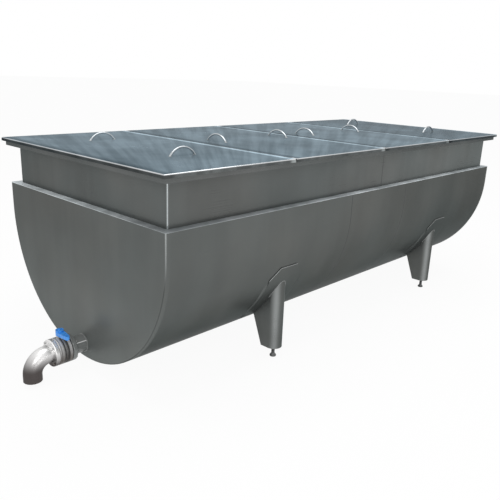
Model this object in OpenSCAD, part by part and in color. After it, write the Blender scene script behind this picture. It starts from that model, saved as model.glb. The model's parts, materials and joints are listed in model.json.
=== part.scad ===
// Half-round cheese vat: a jacketed trough on four legs, with lift-off lids and a butterfly outlet valve.
// Millimetres. +X runs along the vat with the outlet at -X, -Y is the front, +Z is up, the floor is Z = 0.

/* [Trough] */
// Length of the trough over its end plates
trough_l = 2876; // [2200:1:3600]
// Width of the trough over its side walls
trough_w = 1206; // [1000:1:1400]
// Height of the straight walls above the centre of the round bottom
wall_up = 353; // [260:1:420]
// Thickness of the trough sheet
liner_t = 3; // [2:0.5:4]
// Outside bend radius of the trough's end plates
liner_bend = 7; // [5:0.5:20]

/* [Jacket] */
// Height of the jacket's lowest line above the floor
floor_gap = 57; // [40:1:120]
// Distance from the trough's outer face to the jacket's outer face
jacket_gap = 40; // [34:1:60]
// Distance of the trough's round bottom below the jacket's, centre to centre
trough_drop = 14; // [0:1:16]
// Height of the jacket's straight sides above the centre of the round bottom
jacket_up = 114; // [60:1:180]
// Thickness of the jacket sheet
jacket_t = 2; // [1.5:0.5:3]
// Outside bend radius of the jacket's end plates
jacket_bend = 9; // [6:1:16]
// Straight flange behind that bend
end_flange = 14; // [6:1:30]
// Thickness of the strip that closes the jacket's top
ledge_t = 2; // [1.5:0.5:4]

/* [Heating] */
// Width of the water space under the trough
water_gap = 12; // [8:1:16]
// Thickness of the sheet around the water space
water_t = 2; // [1.5:0.5:3]
// Distance of the water space from the trough's ends
water_margin = 60; // [30:1:120]
// Outside diameter of the tubes from the water space to the jacket
nipple_d = 27; // [20:0.5:34]
// Wall of those tubes
nipple_t = 3; // [2:0.5:4]
// Diameter of the sockets outside the jacket
socket_d = 36; // [30:1:44]
// Length of those sockets
nipple_out = 45; // [30:1:60]
// Distance from the jacket to the pipe's seat in those sockets
socket_stop = 14; // [8:1:20]
// Step from the tubes' bore out to that seat
seat_step = 1.5; // [0.8:0.1:2.0]
// Distance of the sockets from the leg pads
nipple_off = 131; // [60:1:200]
// Angle of the water inlet below the horizontal
inlet_angle = 55; // [50:1:60]
// Angle of the water outlet below the horizontal
return_angle = 30; // [26:1:40]

/* [Rim] */
// Width of the rim outside the trough wall
rim_out = 47.5; // [35:0.5:60]
// Thickness of the rim sheet
rim_t = 3; // [2:0.5:4]
// Height of the rim's outer lip
lip_h = 36; // [24:1:50]
// Outside bend radius of the rim
rim_bend = 7; // [5:0.5:10]
// Width of the rim's folded lower edge
hem_w = 14; // [10:1:20]

/* [Lids] */
// Space between the rim's lip and the lid's skirt
lid_play = 12; // [6:1:20]
// Thickness of the lid sheet
lid_t = 2.5; // [1.5:0.5:4]
// Outside bend radius of the lid's edges
lid_bend = 6; // [5:0.5:10]
// Height of the lid over its skirt
skirt_h = 17; // [12:1:30]
// Space between two lids
lid_seam = 8; // [4:1:16]
// Space between the folds at the seams and the trough walls
lid_guide = 8; // [4:1:16]

/* [Handles] */
// Diameter of the handle bar
handle_bar = 10; // [8:0.5:14]
// Distance between the handle's feet
handle_chord = 140; // [110:1:180]
// Height of the bar's centre line above the lid
handle_rise = 37; // [30:1:50]
// Distance of the end lids' handles from the vat's middle plane
handle_side = 320; // [200:5:450]
// Distance of the middle lids' handles from the seams
handle_inset = 125; // [80:5:250]

/* [Legs] */
// Distance of the outlet end's legs from that end of the trough
leg_from_outlet = 740; // [600:5:850]
// Distance of the far legs from the trough's far end
leg_from_far = 570; // [450:5:750]
// Distance of the leg's nose inside the widest line of the jacket and its pads
leg_in = 62; // [50:1:85]
// Radius of the leg's nose
leg_r = 44; // [34:1:50]
// Thickness of the leg sheet
leg_t = 4; // [3:0.5:6]
// Height of the leg's lower edge above the floor
leg_bottom = 58; // [50:1:90]
// Depth of the leg at its lower edge
leg_depth = 92; // [76:1:115]
// Slope of the leg's rear edges
leg_slope = 21; // [10:1:30]
// Thickness of the plate that closes the leg's lower end
base_t = 6; // [4:1:10]
// Diameter of the threaded boss on that plate
boss_d = 40; // [34:1:46]
// Height of the threaded boss
boss_h = 30; // [20:1:45]

/* [Leg pads] */
// Thickness of the pad between leg and jacket
pad_t = 3; // [2:0.5:5]
// Width of the pad
pad_w = 238; // [180:2:320]
// Angle of the pad's upper edge below the horizontal
pad_top = 17; // [8:1:20]
// Angle of the pad's lower edge below the horizontal
pad_low = 50; // [48:1:60]
// Size of the pad's cut upper corners
pad_cut = 57; // [10:1:80]

/* [Feet] */
// Diameter of the foot's stem
stem_d = 18; // [14:1:24]
// Diameter of the foot's pad
foot_d = 34; // [28:1:56]
// Height of the foot's pad
foot_h = 8; // [5:1:12]
// Height of the cone above the foot's pad
cone_h = 10; // [6:1:18]
// Length of the stem above the boss
stem_up = 20; // [10:1:40]

/* [Outlet] */
// Outside diameter of the outlet pipe
pipe_od = 85; // [70:1:90]
// Wall of the outlet pipe
pipe_t = 2; // [1.5:0.5:3]
// Height of the outlet above the trough's lowest line
outlet_rise = 4; // [3:0.5:20]
// Length of bare pipe between jacket and valve
stub_l = 62; // [40:1:120]
// Diameter of the valve and its flanges
flange_od = 130; // [126:1:140]
// Thickness of the flanges on pipe and elbow
flange_t = 22; // [14:1:28]
// Radius on the edges of flanges and valve
flange_edge = 4.5; // [1:0.5:6]
// Straight pipe between the elbow's flange and its bend
elbow_in = 13; // [5:1:40]
// Radius of the elbow's centre line
bend_r = 76; // [70:1:100]
// Straight pipe below the elbow's bend
elbow_drop = 29; // [10:1:40]

/* [Valve] */
// Thickness of each half of the valve body
body_t = 33; // [24:1:40]
// Outside diameter of the valve's seat ring
seat_od = 92; // [90:1:94]
// Width of the valve's seat ring
seat_w = 24; // [20:1:32]
// Thickness of the valve's disc
disc_t = 8; // [5:0.5:12]
// Diameter of the disc's hub
hub_d = 20; // [17:0.5:24]
// Diameter of the valve's spindle
spindle_d = 14; // [12:0.5:16]
// Depth of the spindle's lower end in the valve body
spindle_low = 6; // [3:0.5:8]
// Diameter of the neck around the spindle
neck_d = 32; // [24:1:40]
// Height of the neck above the valve body
neck_h = 12; // [5:1:20]
// Width of the square that drives the spindle
drive_w = 9; // [7:0.5:10]
// Height of that square
drive_h = 16; // [8:1:18]
// Distance between the lever's hub and its tip
lever_l = 70; // [56:1:160]
// Diameter of the lever's hub
lever_hub = 38; // [30:1:46]
// Diameter of the lever's tip
lever_tip = 20; // [12:1:28]
// Thickness of the lever's arm
lever_t = 18; // [10:1:22]
// Height of the lever's hub
lever_hub_h = 26; // [22:1:32]
// Diameter of the hole in the lever's tip
lever_eye = 7; // [4:0.5:9]
// Diameter of the flange bolts
bolt_d = 6; // [4:0.5:8]
// Diameter of the circle of bolts
bolt_pcd = 110; // [106:0.5:112]
// Height of the bolts' heads and nuts
bolt_head_h = 5; // [3:0.5:8]
// Diameter of the lever's screw
screw_d = 5; // [3:0.5:6]
// Diameter of the screw's head
screw_head_d = 13; // [9:0.5:16]
// Height of the screw's head
screw_head_h = 5; // [3:0.5:8]
// Depth of the lever's screw in the spindle
screw_in = 12; // [6:1:16]

/* [Fits] */
// Space left for welds between two pieces
weld_gap = 0.1; // [0.05:0.05:0.2]
// Radial clearance of turning and sliding stems
run_gap = 0.08; // [0.02:0.01:0.1]
// Space between pieces that lie on each other
rest_gap = 0.3; // [0.2:0.05:0.5]

/* [Hidden] */
$fn = 96;
wide_fn = 360;
lid_count = 4;
eps = 1;

liner_r = trough_w / 2;
jacket_r = liner_r + jacket_gap;
arc_z = floor_gap + jacket_r;
liner_z = arc_z - trough_drop;
liner_top = liner_z + wall_up;
lid_z = liner_top + rim_t + rest_gap;
vat_h = lid_z + lid_t;
lid_over = rim_out + lid_play + lid_t;
vat_l = trough_l + 2 * lid_over;
vat_w = trough_w + 2 * lid_over;
lid_l = (vat_l - (lid_count - 1) * lid_seam) / lid_count;
jacket_l = trough_l + 2 * jacket_gap;
jacket_end_d = jacket_bend + end_flange;
water_r = liner_r + water_gap + water_t;
water_l = trough_l - 2 * water_margin;

pipe_r = pipe_od / 2;
bore_r = pipe_r - pipe_t;
pipe_z = liner_z - liner_r + liner_t + outlet_rise + bore_r;
pipe_start = -trough_l / 2 + liner_t;
flange_x = -jacket_l / 2 - stub_l;
body_x = flange_x - flange_t;
valve_x = body_x - body_t;
elbow_x = valve_x - body_t;
bend_z = flange_t + elbow_in;
drop_x = elbow_x - bend_z - bend_r;
lever_base = flange_od / 2 + neck_h + rest_gap;
bolt_grip = 2 * (flange_t + body_t);
bolt_head_d = 1.9 * bolt_d;

// The vat is moved along X so that the origin lies under the middle of its whole length
shift_x = -(drop_x - pipe_r + vat_l / 2) / 2;

weld_r = jacket_r + pad_t + 2 * weld_gap;
leg_nose = weld_r - leg_in;
leg_top = arc_z - sqrt(weld_r * weld_r - leg_nose * leg_nose);
nose_y = -leg_nose + leg_r;
rear_y = -leg_nose + leg_depth;

handle_r = (handle_chord * handle_chord / 4 + handle_rise * handle_rise) / (2 * handle_rise);
handle_half = asin(handle_chord / 2 / handle_r);
handle_past = 12;

SIDES = ["front", "back"];
ENDS = ["outlet", "far"];
EDGES = ["front", "back", "outlet_end", "far_end"];
SEAM_LIDS = [2, 3];

function is_seam_lid(n) = n == SEAM_LIDS[0] || n == SEAM_LIDS[1];
function handle_words(n) = is_seam_lid(n) ? ENDS : SIDES;
function sign_of(word) = word == "front" || word == "outlet" || word == "outlet_end" ? -1 : 1;
function leg_from(end) = end == "outlet" ? leg_from_outlet : leg_from_far;
function leg_x(end) = sign_of(end) * (trough_l / 2 - leg_from(end));
function socket_x(end) = leg_x(end) + sign_of(end) * (pad_w / 2 + nipple_off);

TANK = ["trough_liner", "liner_end_outlet", "liner_end_far", "heating_jacket", "water_inlet", "water_return",
        "water_inlet_tube", "water_return_tube", "insulation_wrap", "insulation_outlet_end",
        "insulation_far_end", "jacket_shell", "jacket_end_outlet", "jacket_end_far"];
EDGING = [for (kind = ["ledge_", "rim_"], e = EDGES) str(kind, e)];
LEGS = [for (kind = ["leg_", "leg_pad_", "leg_base_", "foot_"], s = SIDES, e = ENDS) str(kind, s, "_", e)];
LIDS = [for (n = [1 : lid_count]) str("lid_", n)];
HANDLES = [for (n = [1 : lid_count], w = handle_words(n)) str("lid_", n, "_handle_", w)];
OUTLET = ["outlet_pipe", "valve_body_vat_side", "valve_body_elbow_side", "valve_seat", "valve_disc",
          "valve_lever", "lever_screw", "flange_bolts", "flange_nuts", "outlet_elbow"];

STEEL = [0.62, 0.64, 0.65];
SHEET = [0.50, 0.52, 0.52];
BRIGHT = [0.80, 0.81, 0.82];
BLANKET = [0.86, 0.82, 0.68];
DARK = [0.30, 0.31, 0.32];
RUBBER = [0.15, 0.15, 0.15];
BLUE = [0.10, 0.40, 0.85];

// Sections

// Lower half of a disc with straight sides up to a height
module u_section(r, up) {
    intersection() {
        circle(r = r);
        translate([-r, -r]) square([2 * r, r]);
    }
    translate([-r, 0]) square([2 * r, up]);
}

// Lower half of a ring, cut level at a depth below its centre
module half_ring(r_out, r_in, below) {
    difference() {
        circle(r = r_out);
        circle(r = r_in);
        translate([-r_out - eps, -below]) square([2 * (r_out + eps), r_out + below + eps]);
    }
}

// Block with its upper right corner rounded
module corner_block(w, h, r) {
    difference() {
        square([w, h]);
        translate([w - r, h - r]) difference() {
            square(r + eps);
            circle(r = r);
        }
    }
}

// Block with both upper corners rounded
module arch(w, h, r) {
    corner_block(w / 2, h, r);
    mirror([1, 0]) corner_block(w / 2, h, r);
}

// Rectangle with rounded corners about the origin
module rounded_plate(l, w, r) {
    square([l, w - 2 * r], center = true);
    square([l - 2 * r, w], center = true);
    for (x = [-1, 1], y = [-1, 1]) translate([x * (l / 2 - r), y * (w / 2 - r)]) circle(r = r);
}

// Part of a rectangular ring along one edge, cut at 45 degrees at its ends
module mitre(l, w, edge) {
    m = w / 4;
    run = edge == "front" || edge == "back"
        ? [[-l / 2, -w / 2], [l / 2, -w / 2], [l / 2 - m, -w / 2 + m], [-l / 2 + m, -w / 2 + m]]
        : [[-l / 2, -w / 2], [-l / 2 + m, -w / 2 + m], [-l / 2 + m, w / 2 - m], [-l / 2, w / 2]];
    flip = sign_of(edge) > 0 ? 1 : 0;
    mirror(edge == "back" ? [0, flip] : [flip, 0]) polygon(run);
}

// Placing

module in_frame() {
    translate([shift_x, 0, 0]) children();
}

// Extrudes a section along the vat, about its middle, with its origin at a height
module along_x(l, z = arc_z) {
    translate([-l / 2, 0, z]) rotate([90, 0, 90]) linear_extrude(l) children();
}

// Moves a piece whose outside lies along +Z to one end of the vat
module to_end(end, x, z = arc_z) {
    mirror([end == "outlet" ? 1 : 0, 0, 0]) translate([x, 0, z]) rotate([90, 0, 90]) children();
}

// Turns +Z to point out of the outlet, with +X up
module on_pipe(x) {
    translate([x, 0, pipe_z]) rotate([0, -90, 0]) children();
}

// Turns +Z to point out of the vat's back at an angle below the horizontal
module at_back(end, angle) {
    translate([socket_x(end), 0, arc_z]) rotate([-90 - angle, 0, 0]) children();
}

// Puts a front leg's piece at one of the four legs
module at_leg(side, end) {
    translate([leg_x(end), 0, 0]) mirror([0, side == "back" ? 1 : 0, 0]) children();
}

// Tank

module u_shell(r, t, up, l, z) {
    along_x(l, z) difference() {
        u_section(r, up);
        u_section(r - t, up + eps);
    }
}

// Half-round block whose outer edge is rounded
module pan_block(r, up, d, bend) {
    rotate([0, 0, 180]) rotate_extrude(angle = 180) corner_block(r, d, bend);
    translate([0, up, 0]) rotate([90, 0, 0]) linear_extrude(up) arch(2 * r, d, bend);
}

// End plate with a bent edge and a flange that meets the rolled sheet
module pan(r, t, up, d, bend) {
    difference() {
        pan_block(r, up, d, bend);
        translate([0, 0, -eps]) pan_block(r - t, up + eps, d - t + eps, bend - t);
    }
}

module pipe_hole() {
    on_pipe(pipe_start + eps) cylinder(r = pipe_r + weld_gap, h = jacket_gap + liner_t + 2 * eps);
}

module nipple_holes() {
    at_back("far", inlet_angle) cylinder(d = nipple_d + 2 * weld_gap, h = jacket_r + eps);
    at_back("outlet", return_angle) cylinder(d = nipple_d + 2 * weld_gap, h = jacket_r + eps);
}

module trough_liner() {
    color(STEEL) in_frame() u_shell(liner_r, liner_t, wall_up, trough_l - 2 * liner_bend, liner_z);
}

module liner_end(end) {
    color(STEEL) in_frame() difference() {
        to_end(end, trough_l / 2 - liner_bend, liner_z)
            pan(liner_r, liner_t, wall_up, liner_bend, liner_bend);
        if (end == "outlet") pipe_hole();
    }
}

// Sheet around the water space, closed along its edges against the trough
module heating_jacket() {
    color(SHEET) in_frame() difference() {
        along_x(water_l, liner_z) half_ring(water_r, liner_r + weld_gap, 0);
        along_x(water_l - 2 * water_t, liner_z) half_ring(water_r - water_t, liner_r, water_t);
        nipple_holes();
    }
}

// Round tube that leaves the back at an angle, from one distance from the jacket's centre to another
module back_tube(end, angle, from, to, d) {
    in_frame() at_back(end, angle) translate([0, 0, from]) difference() {
        cylinder(d = d, h = to - from);
        translate([0, 0, -eps]) cylinder(d = nipple_d - 2 * nipple_t, h = to - from + 2 * eps);
    }
}

// Tube from the water space out to the jacket's face
module water_tube(end, angle) {
    r = water_r - water_t;
    across = trough_drop * cos(angle);
    from = trough_drop * sin(angle) + sqrt(r * r - across * across);
    color(BRIGHT) back_tube(end, angle, from, jacket_r + weld_gap, nipple_d);
}

// Socket on the outside of the jacket, with a seat for a pipe that stops against its step
module water_socket(end, angle) {
    color(BRIGHT) difference() {
        back_tube(end, angle, jacket_r + 2 * weld_gap, jacket_r + nipple_out, socket_d);
        in_frame() at_back(end, angle) translate([0, 0, jacket_r + socket_stop])
            cylinder(r = nipple_d / 2 - nipple_t + seat_step, h = nipple_out - socket_stop + eps);
    }
}

module insulation_wrap() {
    color(BLANKET) in_frame() difference() {
        along_x(trough_l) u_section(jacket_r - jacket_t - rest_gap, jacket_up - rest_gap);
        along_x(trough_l + 2 * eps, liner_z) u_section(water_r + rest_gap, jacket_up + trough_drop + eps);
        nipple_holes();
    }
}

module insulation_end(end) {
    t = jacket_gap - jacket_t - 2 * rest_gap;
    color(BLANKET) in_frame() difference() {
        to_end(end, trough_l / 2 + rest_gap) linear_extrude(t)
            u_section(jacket_r - jacket_bend, jacket_up - rest_gap);
        if (end == "outlet") pipe_hole();
    }
}

module jacket_shell() {
    color(SHEET) in_frame() difference() {
        u_shell(jacket_r, jacket_t, jacket_up, jacket_l - 2 * jacket_end_d, arc_z);
        nipple_holes();
    }
}

module jacket_end(end) {
    color(SHEET) in_frame() difference() {
        to_end(end, jacket_l / 2 - jacket_end_d)
            pan(jacket_r, jacket_t, jacket_up, jacket_end_d, jacket_bend);
        if (end == "outlet") pipe_hole();
    }
}

module ledge(edge) {
    color(BRIGHT) in_frame() translate([0, 0, arc_z + jacket_up]) linear_extrude(ledge_t) intersection() {
        difference() {
            rounded_plate(jacket_l, 2 * jacket_r, jacket_bend);
            rounded_plate(trough_l + 2 * weld_gap, trough_w + 2 * weld_gap, liner_bend + weld_gap);
        }
        mitre(jacket_l, 2 * jacket_r, edge);
    }
}

// Folded section of the rim, from the trough's inner face outward
module rim_section() {
    w = rim_out + liner_t;
    translate([0, rim_t - lip_h]) difference() {
        corner_block(w, lip_h, rim_bend);
        translate([-eps, rim_t]) corner_block(w - rim_t + eps, lip_h - 2 * rim_t, rim_bend - rim_t);
        translate([-eps, -eps]) square([w - hem_w + eps, rim_t + 2 * eps]);
    }
}

module rim(edge) {
    l = trough_l + 2 * rim_out;
    w = trough_w + 2 * rim_out;
    is_long = edge == "front" || edge == "back";
    flip = sign_of(edge) < 0 ? 1 : 0;
    color(STEEL) in_frame() intersection() {
        mirror(is_long ? [0, flip, 0] : [flip, 0, 0]) translate([0, 0, liner_top]) {
            if (is_long) translate([-l / 2, trough_w / 2 - liner_t, 0])
                rotate([90, 0, 90]) linear_extrude(l) rim_section();
            else translate([trough_l / 2 - liner_t, w / 2, 0])
                rotate([90, 0, 0]) linear_extrude(w) rim_section();
        }
        translate([0, 0, liner_top - lip_h]) linear_extrude(2 * lip_h) mitre(l, w, edge);
    }
}

// Lids and handles

// Block under Z = 0 with rounded upper edges, from X = 0 to its length
module lid_block(l, w, h, r) {
    intersection() {
        translate([0, 0, -h]) rotate([90, 0, 90]) linear_extrude(l) arch(w, h, r);
        translate([l / 2, w / 2, -h]) rotate([90, 0, 0]) linear_extrude(w) arch(l, h, r);
    }
}

// Room over the rim at the ends of a lid's seam fold
module seam_notch() {
    inner = trough_w / 2 - liner_t - lid_guide;
    for (s = [0, 1]) mirror([0, s, 0]) translate([-eps, inner, -skirt_h - eps])
        cube([lid_bend + 2 * eps, vat_w / 2 - lid_t - inner, skirt_h + eps - lid_t]);
}

function lid_x(n) = -vat_l / 2 + (n - 1) * (lid_l + lid_seam);

module lid(n) {
    color(BRIGHT) in_frame() translate([lid_x(n), 0, vat_h]) difference() {
        lid_block(lid_l, vat_w, skirt_h, lid_bend);
        translate([lid_t, 0, -lid_t])
            lid_block(lid_l - 2 * lid_t, vat_w - 2 * lid_t, skirt_h - lid_t + eps, lid_bend - lid_t);
        if (n > 1) seam_notch();
        if (n < lid_count) translate([lid_l, 0, 0]) mirror([1, 0, 0]) seam_notch();
    }
}

// Round bar bent to a bow along X, with its feet on Z = 0
module bow() {
    half = handle_half + handle_past;
    intersection() {
        translate([0, 0, handle_rise - handle_r]) rotate([90, 0, 0]) rotate([0, 0, 90 - half])
            rotate_extrude(angle = 2 * half) translate([handle_r, 0]) circle(d = handle_bar);
        translate([-handle_chord, -handle_bar, 0]) cube([2 * handle_chord, 2 * handle_bar, 2 * handle_rise]);
    }
}

module handle(n, word) {
    s = sign_of(word);
    across = is_seam_lid(n);
    dx = across ? s * (lid_l / 2 - handle_inset) : 0;
    dy = across ? 0 : s * handle_side;
    turn = across ? 90 : 0;
    color(BRIGHT) in_frame() translate([lid_x(n) + lid_l / 2 + dx, dy, vat_h]) rotate([0, 0, turn]) bow();
}

// Legs and feet

// Block of U plan with a round nose to the front, inset by a sheet thickness and longer at both ends
module leg_block(inset, past) {
    translate([0, nose_y, leg_bottom - past]) linear_extrude(leg_top + leg_t - leg_bottom + 2 * past)
        u_section(leg_r - inset, leg_nose + past);
}

// Everything in front of the leg's sloping rear edges
module leg_side() {
    rise = leg_top + leg_t - leg_bottom + 2 * eps;
    low = rear_y - eps * tan(leg_slope);
    half = leg_r + eps;
    translate([-half, 0, leg_bottom - eps]) rotate([90, 0, 90]) linear_extrude(2 * half)
        polygon([[-2 * leg_nose, 0], [low, 0], [low + rise * tan(leg_slope), rise], [-2 * leg_nose, rise]]);
}

module leg(side, end) {
    color(SHEET) in_frame() at_leg(side, end) difference() {
        intersection() {
            leg_block(0, 0);
            leg_side();
        }
        leg_block(leg_t, eps);
        translate([-pad_w, 0, arc_z]) rotate([0, 90, 0]) cylinder(r = weld_r, h = 2 * pad_w, $fn = wide_fn);
    }
}

// Curved plate on the jacket under the leg, with its upper corners cut
module leg_pad(side, end) {
    half = (jacket_r + pad_t) * sin((pad_low - pad_top) / 2);
    w = pad_w / 2;
    color(SHEET) in_frame() at_leg(side, end) intersection() {
        translate([-pad_w, 0, arc_z]) rotate([0, 90, 0]) difference() {
            cylinder(r = jacket_r + pad_t + weld_gap, h = 2 * pad_w, $fn = wide_fn);
            translate([0, 0, -eps]) cylinder(r = jacket_r + weld_gap, h = 2 * (pad_w + eps), $fn = wide_fn);
        }
        translate([0, 0, arc_z]) rotate([90 + (pad_top + pad_low) / 2, 0, 0]) linear_extrude(2 * jacket_r)
            polygon([[-w, -half], [w, -half], [w, half - pad_cut], [w - pad_cut, half],
                     [pad_cut - w, half], [-w, half - pad_cut]]);
    }
}

// Plate in the leg's lower end with a threaded boss for the foot
module leg_base(side, end) {
    r = leg_r - leg_t - weld_gap;
    color(SHEET) in_frame() at_leg(side, end) translate([0, nose_y, leg_bottom]) difference() {
        union() {
            cylinder(r = r, h = base_t);
            translate([-r, 0, 0]) cube([2 * r, rear_y - nose_y, base_t]);
            cylinder(d = boss_d, h = base_t + boss_h);
        }
        translate([0, 0, -eps]) cylinder(r = stem_d / 2 + run_gap, h = base_t + boss_h + 2 * eps);
    }
}

module foot(side, end) {
    color(DARK) in_frame() at_leg(side, end) translate([0, nose_y, 0]) {
        cylinder(d = foot_d, h = foot_h);
        translate([0, 0, foot_h]) cylinder(d1 = foot_d, d2 = stem_d, h = cone_h);
        cylinder(d = stem_d, h = leg_bottom + base_t + boss_h + stem_up);
    }
}

// Outlet and valve

// Ring whose two outer edges are rounded
module ring(r_in, r_out, h, edge) {
    rotate_extrude() {
        translate([r_in, 0]) square([r_out - edge - r_in, h]);
        translate([r_in, edge]) square([r_out - r_in, h - 2 * edge]);
        for (y = [edge, h - edge]) translate([r_out - edge, y]) circle(r = edge);
    }
}

module bolt_places() {
    for (a = [45 : 90 : 315]) rotate([0, 0, a]) translate([bolt_pcd / 2, 0, 0]) children();
}

module bolt_holes(l) {
    translate([0, 0, -eps]) bolt_places() cylinder(d = bolt_d + 2 * rest_gap, h = l + 2 * eps);
}

module outlet_pipe() {
    l = pipe_start - body_x;
    color(BRIGHT) in_frame() on_pipe(pipe_start) difference() {
        union() {
            cylinder(r = pipe_r, h = l);
            translate([0, 0, l - flange_t]) ring(bore_r, flange_od / 2, flange_t, flange_edge);
        }
        translate([0, 0, -eps]) cylinder(r = bore_r, h = l + 2 * eps);
        translate([0, 0, l - flange_t]) bolt_holes(flange_t);
    }
}

// One half of the valve body, from the joint plane at Z = 0 to its flange
module valve_half() {
    difference() {
        union() {
            ring(bore_r, flange_od / 2, body_t, flange_edge);
            intersection() {
                rotate([0, 90, 0]) cylinder(d = neck_d, h = flange_od / 2 + neck_h);
                translate([0, -neck_d, 0]) cube([flange_od, 2 * neck_d, neck_d]);
            }
        }
        translate([0, 0, -eps]) cylinder(r = bore_r, h = body_t + 2 * eps);
        translate([0, 0, -eps]) cylinder(d = seat_od + 2 * weld_gap, h = seat_w / 2 + weld_gap + eps);
        translate([-seat_od / 2 - spindle_low - rest_gap, 0, 0]) rotate([0, 90, 0])
            cylinder(r = spindle_d / 2 + run_gap, h = seat_od + flange_od);
        bolt_holes(body_t);
    }
}

module valve_body(side) {
    color(BRIGHT) in_frame() on_pipe(valve_x) mirror([0, 0, side == "vat" ? 1 : 0]) valve_half();
}

module valve_seat() {
    color(RUBBER) in_frame() on_pipe(valve_x) difference() {
        translate([0, 0, -seat_w / 2]) cylinder(d = seat_od, h = seat_w);
        translate([0, 0, -seat_w / 2 - eps]) cylinder(r = bore_r, h = seat_w + 2 * eps);
        translate([-seat_od, 0, 0]) rotate([0, 90, 0])
            cylinder(r = spindle_d / 2 + rest_gap, h = 2 * seat_od);
    }
}

// Disc across the bore with its hub, spindle and square drive in one piece
module valve_disc() {
    disc_r = sqrt(bore_r * bore_r - disc_t * disc_t / 4) - rest_gap;
    hub_half = sqrt(bore_r * bore_r - hub_d * hub_d / 4) - rest_gap;
    low = seat_od / 2 + spindle_low;
    color(BRIGHT) in_frame() on_pipe(valve_x) difference() {
        union() {
            translate([0, 0, -disc_t / 2]) cylinder(r = disc_r, h = disc_t);
            translate([-hub_half, 0, 0]) rotate([0, 90, 0]) cylinder(d = hub_d, h = 2 * hub_half);
            translate([-low, 0, 0]) rotate([0, 90, 0]) cylinder(d = spindle_d, h = low + lever_base);
            translate([lever_base, -drive_w / 2, -drive_w / 2]) cube([drive_h, drive_w, drive_w]);
        }
        translate([lever_base + drive_h - screw_in, 0, 0]) rotate([0, 90, 0])
            cylinder(r = screw_d / 2 + run_gap, h = screw_in + eps);
    }
}

// Plan of the lever: a large round at the hub and a small one at the tip, joined by tangents
module lever_plan() {
    r1 = lever_hub / 2;
    r2 = lever_tip / 2;
    lean = asin((r1 - r2) / lever_l);
    side = [cos(lean), -sin(lean)];
    tip = [0, -lever_l];
    circle(r = r1);
    translate(tip) circle(r = r2);
    polygon([side * r1, tip + side * r2, tip + [-side[0], side[1]] * r2, [-side[0], side[1]] * r1]);
}

module at_lever() {
    translate([valve_x, 0, pipe_z + lever_base]) children();
}

module valve_lever() {
    pocket = drive_w + 2 * weld_gap;
    color(BLUE) in_frame() at_lever() difference() {
        union() {
            linear_extrude(lever_t) lever_plan();
            cylinder(d = lever_hub, h = lever_hub_h);
        }
        translate([-pocket / 2, -pocket / 2, -eps]) cube([pocket, pocket, drive_h + weld_gap + eps]);
        cylinder(r = screw_d / 2 + rest_gap, h = lever_hub_h + eps);
        translate([0, -lever_l, -eps]) cylinder(d = lever_eye, h = lever_t + 2 * eps);
    }
}

module lever_screw() {
    color(BRIGHT) in_frame() at_lever() {
        translate([0, 0, lever_hub_h]) cylinder(d = screw_head_d, h = screw_head_h);
        translate([0, 0, drive_h - screw_in + rest_gap])
            cylinder(d = screw_d, h = lever_hub_h + screw_in - drive_h - rest_gap);
    }
}

module flange_bolts() {
    past = bolt_head_h + bolt_d / 2;
    color(BRIGHT) in_frame() on_pipe(flange_x) bolt_places() {
        translate([0, 0, -past]) cylinder(d = bolt_d, h = bolt_grip + past);
        translate([0, 0, bolt_grip]) cylinder(d = bolt_head_d, h = bolt_head_h, $fn = 6);
    }
}

module flange_nuts() {
    color(BRIGHT) in_frame() on_pipe(flange_x) bolt_places() translate([0, 0, -bolt_head_h]) difference() {
        cylinder(d = bolt_head_d, h = bolt_head_h, $fn = 6);
        translate([0, 0, -eps]) cylinder(r = bolt_d / 2 + run_gap, h = bolt_head_h + 2 * eps);
    }
}

// Round bar along the elbow's centre line, longer at both ends by a given length
module elbow_run(r, past) {
    translate([0, 0, -past]) cylinder(r = r, h = bend_z + past);
    translate([-bend_r, 0, bend_z]) {
        rotate([90, 0, 0]) rotate_extrude(angle = 90) translate([bend_r, 0]) circle(r = r);
        translate([0, 0, bend_r]) rotate([0, -90, 0]) cylinder(r = r, h = elbow_drop + past);
    }
}

module outlet_elbow() {
    color(BRIGHT) in_frame() on_pipe(elbow_x) difference() {
        union() {
            elbow_run(pipe_r, 0);
            ring(bore_r, flange_od / 2, flange_t, flange_edge);
        }
        elbow_run(bore_r, eps);
        bolt_holes(flange_t);
    }
}

trough_liner();
heating_jacket();
water_socket("far", inlet_angle);  // water_inlet
water_socket("outlet", return_angle);  // water_return
water_tube("far", inlet_angle);  // water_inlet_tube
water_tube("outlet", return_angle);  // water_return_tube
insulation_wrap();
jacket_shell();
for (e = ENDS) {
    liner_end(e);
    insulation_end(e);
    jacket_end(e);
}
for (e = EDGES) {
    ledge(e);
    rim(e);
}
for (s = SIDES, e = ENDS) {
    leg(s, e);
    leg_pad(s, e);
    leg_base(s, e);
    foot(s, e);
}
for (n = [1 : lid_count]) {
    lid(n);
    for (w = handle_words(n)) handle(n, w);
}
outlet_pipe();
valve_body("vat");  // valve_body_vat_side
valve_body("elbow");  // valve_body_elbow_side
valve_seat();
valve_disc();
valve_lever();
lever_screw();
flange_bolts();
flange_nuts();
outlet_elbow();
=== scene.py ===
import json
import math

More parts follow.
